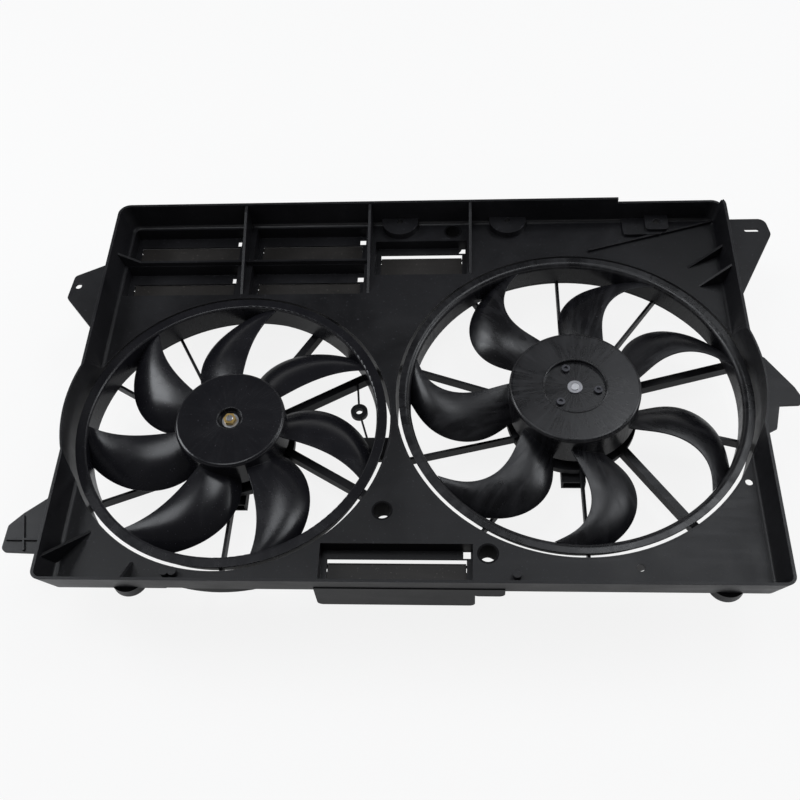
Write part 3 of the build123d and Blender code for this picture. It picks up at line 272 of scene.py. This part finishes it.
def hub_plastic(name, centre, colours, rough, gloss, streaks):
    """Fan plastic: like plastic(), with flow streaks that run out from the hub's axis."""
    dark, pale = colours
    finish = Finish(name)
    x, y = finish.across_from(centre)
    angle = x.maths("ARCTAN2", y, x)
    radius = finish.from_axis(centre)
    rays = finish.node("ShaderNodeCombineXYZ", {}, {"X": angle * 9.0, "Y": radius * 14.0, "Z": 0.0})
    flow = finish.ramp(finish.noise(1.6, 5.0, 0.65, rays, 0.5), 0.42, 0.78)
    clouds = finish.ramp(finish.noise(14.0, 5.0, 0.6, twist=0.5), 0.35, 0.75)
    specks = finish.ramp(finish.noise(520.0, 2.0, 0.5), 0.68, 0.76)
    soft = finish.soft_edges(0.0007)
    # Edge mask that pales the colour: partly wear, partly a painted highlight
    wear_and_highlight = finish.edge_share(soft)
    base = finish.blend(clouds * 0.5 + flow * streaks, dark, pale)
    base = finish.blend(specks * 0.3 + wear_and_highlight * 0.25, base, brighter(pale, EDGE_WEAR_AND_HIGHLIGHT_PALER))
    uneven = clouds * (0.06 + 0.14 * streaks) + flow * (streaks * 0.2) + specks * 0.1
    return finish.surface(
        Base_Color=base,
        Roughness=rough + uneven,
        Specular_IOR_Level=gloss,
        Normal=finish.bump(finish.noise(1900.0, 2.0, 0.6), 0.00003, 0.4, soft),
    )


def metal(name, colour, shade, rough, grain_scale, stretch=(1, 1, 1), metallic=1.0):
    """Rolled, drawn or plated metal: drawing lines, cloudy plating and brighter edges, partly wear
    and partly a painted highlight.
    """
    finish = Finish(name)
    lines = finish.noise(grain_scale, 3.0, 0.6, finish.moved(stretch=stretch))
    clouds = finish.ramp(finish.noise(40.0, 4.0, 0.6, twist=0.8), 0.35, 0.7)
    soft = finish.soft_edges(0.0004)
    # Edge mask that brightens the colour: partly wear, partly a painted highlight
    wear_and_highlight = finish.edge_share(soft)
    base = finish.blend(clouds * 0.25 + lines * 0.3, [*colour, 1], [*shade, 1])
    base = finish.blend(wear_and_highlight * 0.5, base, brighter(colour, EDGE_WEAR_AND_HIGHLIGHT_BRIGHTER))
    return finish.surface(
        Base_Color=base,
        Metallic=metallic,
        Roughness=rough + lines * 0.15 + clouds * 0.1,
        Normal=finish.bump(lines, 0.00004, 0.4, soft),
    )


# Finish of each material slot of the record. For a metal: its name, colour, colour in the
# grain, roughness, scale of the grain, how the grain is stretched, and how metallic it is.
METALS = {
    "motor_steel": (
        "dull_motor_steel", (0.16, 0.145, 0.115), (0.075, 0.066, 0.05), 0.42, 60, (1, 1, 14)),
    "bearing_steel": ("ground_bearing_steel", (0.62, 0.62, 0.64), (0.5, 0.5, 0.53), 0.18, 300),
    "end_plate_alloy": ("cast_end_plate", (0.5, 0.5, 0.5), (0.38, 0.38, 0.39), 0.45, 220),
    "ferrite": (
        "ferrite_magnets", (0.06, 0.06, 0.065), (0.03, 0.03, 0.034), 0.5, 400, (1, 1, 1), 0.4),
    "carbon": (
        "carbon_brushes", (0.035, 0.035, 0.038), (0.018, 0.018, 0.02), 0.55, 500, (1, 1, 1), 0.3),
    "spring_steel": (
        "blued_spring_steel", (0.3, 0.31, 0.36), (0.17, 0.18, 0.24), 0.28, 200, (1, 1, 9)),
    "zinc_steel": ("zinc_plated_steel", (0.55, 0.56, 0.58), (0.4, 0.41, 0.45), 0.3, 160),
    "terminal_metal": (
        "tinned_terminals", (0.72, 0.7, 0.66), (0.55, 0.54, 0.52), 0.25, 260, (6, 1, 1)),
    "core_steel": (
        "stacked_core_steel", (0.34, 0.34, 0.36), (0.2, 0.2, 0.22), 0.4, 4, (1, 1, 300)),
    "copper_wire": (
        "enamelled_copper", (0.62, 0.25, 0.11), (0.4, 0.14, 0.06), 0.28, 6, (160, 160, 30)),
    "yellow_zinc": ("yellow_zinc", (0.66, 0.46, 0.17), (0.42, 0.27, 0.09), 0.26, 180),
    "drive_alloy": ("drive_plate_alloy", (0.42, 0.42, 0.44), (0.28, 0.28, 0.3), 0.35, 240),
    "dark_screw": ("dark_screw_steel", (0.11, 0.11, 0.12), (0.05, 0.05, 0.06), 0.32, 260),
}
finishes = {
    "shroud_plastic": plastic("black_shroud_plastic", SHROUD_BLACK, 0.36, 0.4, 0.5),
    "fan_plastic": hub_plastic("smooth_fan_plastic", LEFT_AXIS, SMOOTH_BLACK, 0.2, 0.5, 0.25),
    "fan_plastic_satin": hub_plastic(
        "satin_fan_plastic", RIGHT_AXIS, SATIN_BLACK, 0.24, 0.5, 0.8),
    "door_plastic": plastic("brown_grey_door_plastic", DOOR_BROWN, 0.45, 0.4, 1.2),
    "card_plastic": plastic("card_plastic", CARD_BROWN, 0.5, 0.4),
    "connector_plastic": plastic("connector_plastic", CONNECTOR_BLACK, 0.4, 0.45),
}
for slot, values in METALS.items():
    finishes[slot] = metal(*values)

# Divided pieces of the moulding that meet flush, and the tubes, made darker and duller as painted
# shade
plate_plastic = plastic("black_plate_plastic", SHROUD_BLACK, 0.36, 0.4, 0.5, divided=True)
tube_plastic = plastic("shaded_tube_plastic", TUBE_SHADE_BLACK, 0.6, 0.12, 0.5)

slots = {row["node"]: row["material_slot"] for row in frame["record"]["subparts"]}
for name, node in frame["nodes"].items():
    if name == "bolt_tubes":
        finish = tube_plastic
    elif name in ("shroud", "tray_walls") or name.endswith("_pocket"):
        finish = plate_plastic
    else:
        finish = finishes[slots[name]]
    node.data.materials.clear()
    node.data.materials.append(finish)


def mesh_object(name, points, faces, finish):
    """Mesh from a grid of points and the four corners of each face, at the origin."""
    mesh = bpy.data.meshes.new(name)
    mesh.from_pydata(points.reshape(-1, 3).tolist(), [], faces.reshape(-1, 4).tolist())
    mesh.materials.append(finish)
    made = bpy.data.objects.new(name, mesh)
    bpy.context.scene.collection.objects.link(made)
    return made


def turned(name, centre, profile, finish, body, spokes=144):
    """Turned ring that rides on a body: x = cx + r cos a, y = cy + r sin a and z = z, for each
    radius r and height z of a closed profile.
    """
    angle = np.linspace(0, 2 * pi, spokes, endpoint=False)[:, None]
    radius, height = profile[None, :, 0], profile[None, :, 1]
    points = np.stack([
        centre[0] + radius * np.cos(angle),
        centre[1] + radius * np.sin(angle),
        height + 0 * angle], -1)
    count = len(profile)
    i, j = np.meshgrid(np.arange(spokes), np.arange(count), indexing="ij")
    k, m = (i + 1) % spokes, (j + 1) % count
    faces = np.stack([i * count + j, k * count + j, k * count + m, i * count + m], -1)
    made = mesh_object(name, points, faces, finish)
    made.data.polygons.foreach_set("use_smooth", [True] * len(made.data.polygons))
    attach(made, body)


def rounded_rim(hollow, face, size, steps=9):
    """Profile of a low rounded rim on a hub's face: half an ellipse over the rim's width, which
    starts at the hollow's radius, on a foot that is sunk into the face.
    """
    width, rise = size
    half = width / 2
    turn = np.linspace(0, pi, steps)
    arch = np.stack([hollow + half + half * np.cos(turn), face + rise * np.sin(turn)], -1)
    foot = np.array([[hollow, face - RIM_SUNK], [hollow + width, face - RIM_SUNK]])
    return np.concatenate([arch, foot])


turned("left_dimple_rim", LEFT_AXIS, rounded_rim(LEFT_DIMPLE, LEFT_HUB_FACE, LEFT_RIM),
       finishes["fan_plastic"], "left_rotor")
turned("right_recess_rim", RIGHT_AXIS, rounded_rim(RIGHT_RECESS, RIGHT_HUB_FACE, RIGHT_RIM),
       finishes["fan_plastic_satin"], "right_rotor")


def floor_material():
    """Pale floor that looks white to the camera and still takes the object's shadow."""
    finish = Finish("pale_floor")
    seen = finish.node("ShaderNodeLightPath", {}, {}, "Is Camera Ray")
    mirrored = finish.node("ShaderNodeLightPath", {}, {}, "Is Glossy Ray")
    share = seen.maths("MAXIMUM", seen, mirrored * FLOOR_MIRRORED)
    pale = finish.blend(finish.noise(3.0), (0.8, 0.8, 0.8, 1), (0.83, 0.83, 0.83, 1))
    matt = finish.node("ShaderNodeBsdfDiffuse", {}, {"Color": pale})
    glow = finish.node("ShaderNodeEmission", {}, {"Color": WHITE, "Strength": 1.0})
    both = finish.node("ShaderNodeMixShader", {}, {0: share * FLOOR_WHITE, 1: matt, 2: glow})
    finish.node("ShaderNodeOutputMaterial", {}, {"Surface": both})
    return finish.material


def floor(rings=24, spokes=64):
    """Flat disc under the motor backs: rings of points whose radius grows with the square of the
    step: x = r cos a, y = r sin a, z = 0.
    """
    radius = FLOOR_RADIUS * np.linspace(0, 1, rings)[:, None] ** 2
    angle = np.linspace(0, 2 * pi, spokes, endpoint=False)[None, :]
    points = np.stack([radius * np.cos(angle), radius * np.sin(angle), 0 * radius * angle], -1)
    i, j = np.meshgrid(np.arange(rings - 1), np.arange(spokes), indexing="ij")
    here, there = i * spokes + j, i * spokes + (j + 1) % spokes
    faces = np.stack([here, here + spokes, there + spokes, there], -1)
    made = mesh_object("floor", points, faces, floor_material())


def world():
    """White walls for the camera and for mirrored rays, a darker ceiling, and even grey fill."""
    sky = bpy.data.worlds.new("studio")
    bpy.context.scene.world = sky
    sky.use_nodes = True
    finish = Finish("studio", sky.node_tree)
    seen = finish.node("ShaderNodeLightPath", {}, {}, "Is Camera Ray")
    mirrored = finish.node("ShaderNodeLightPath", {}, {}, "Is Glossy Ray")
    through = finish.node("ShaderNodeLightPath", {}, {}, "Is Transmission Ray")
    direction = finish.node("ShaderNodeTexCoord", {}, {}, "Generated")
    height = finish.node("ShaderNodeSeparateXYZ", {}, {0: direction}, "Z")
    walls = finish.ramp(height, WALL_TOP, CEILING_START, WALL, CEILING)
    looked = seen.maths("MAXIMUM", mirrored, through)
    strength = seen + (1.0 - seen) * (looked * walls + (1.0 - looked) * FILL)
    back = finish.node("ShaderNodeBackground", {}, {"Color": WHITE, "Strength": strength})
    finish.node("ShaderNodeOutputWorld", {}, {"Surface": back})


def softbox(name, place, target, size, level):
    """Rectangular lamp at a place, shining at a target, whose panel has this brightness."""
    lamp = bpy.data.lights.new(name, "AREA")
    lamp.shape = "RECTANGLE"
    lamp.size, lamp.size_y = size
    lamp.energy = level * pi * size[0] * size[1]
    lamp.color = LAMP_COLOUR
    made = bpy.data.objects.new(name, lamp)
    bpy.context.scene.collection.objects.link(made)
    turn = (Vector(target) - Vector(place)).to_track_quat("-Z", "Y")
    made.matrix_world = Matrix.Translation(place) @ turn.to_matrix().to_4x4()


def camera():
    """Camera at the photograph's angle, from its place, pitch, yaw and roll."""
    forward = Vector((
        sin(CAMERA_YAW) * cos(CAMERA_PITCH),
        cos(CAMERA_YAW) * cos(CAMERA_PITCH),
        -sin(CAMERA_PITCH)))
    level = Vector((cos(CAMERA_YAW), -sin(CAMERA_YAW), 0.0))
    rise = level.cross(forward)
    right = cos(CAMERA_ROLL) * level + sin(CAMERA_ROLL) * rise
    up = cos(CAMERA_ROLL) * rise - sin(CAMERA_ROLL) * level
    lens = bpy.data.cameras.new("camera")
    lens.lens = FOCAL
    lens.sensor_width = SENSOR
    lens.clip_start = 0.01
    made = bpy.data.objects.new("camera", lens)
    bpy.context.scene.collection.objects.link(made)
    turn = Matrix((right, up, -forward)).transposed()
    made.matrix_world = Matrix.Translation(CAMERA_PLACE) @ turn.to_4x4()
    bpy.context.scene.camera = made


floor()
world()
softbox("overhead_left", (-0.4, 0.0, 1.9), (-0.2, 0.0, 0.05), (0.7, 0.7), 3.6)
softbox("overhead_right", (0.8, 0.75, 1.9), (0.25, -0.1, 0.05), (0.8, 0.8), 3.8)
softbox("left_panel", (-1.4, 0.35, 1.15), (-0.15, 0.0, 0.05), (0.7, 0.8), 5.5)
softbox("right_panel", (1.6, 0.3, 0.8), (0.1, 0.0, 0.05), (0.7, 0.9), 3.5)
camera()
bpy.context.scene.view_settings.view_transform = "Standard"
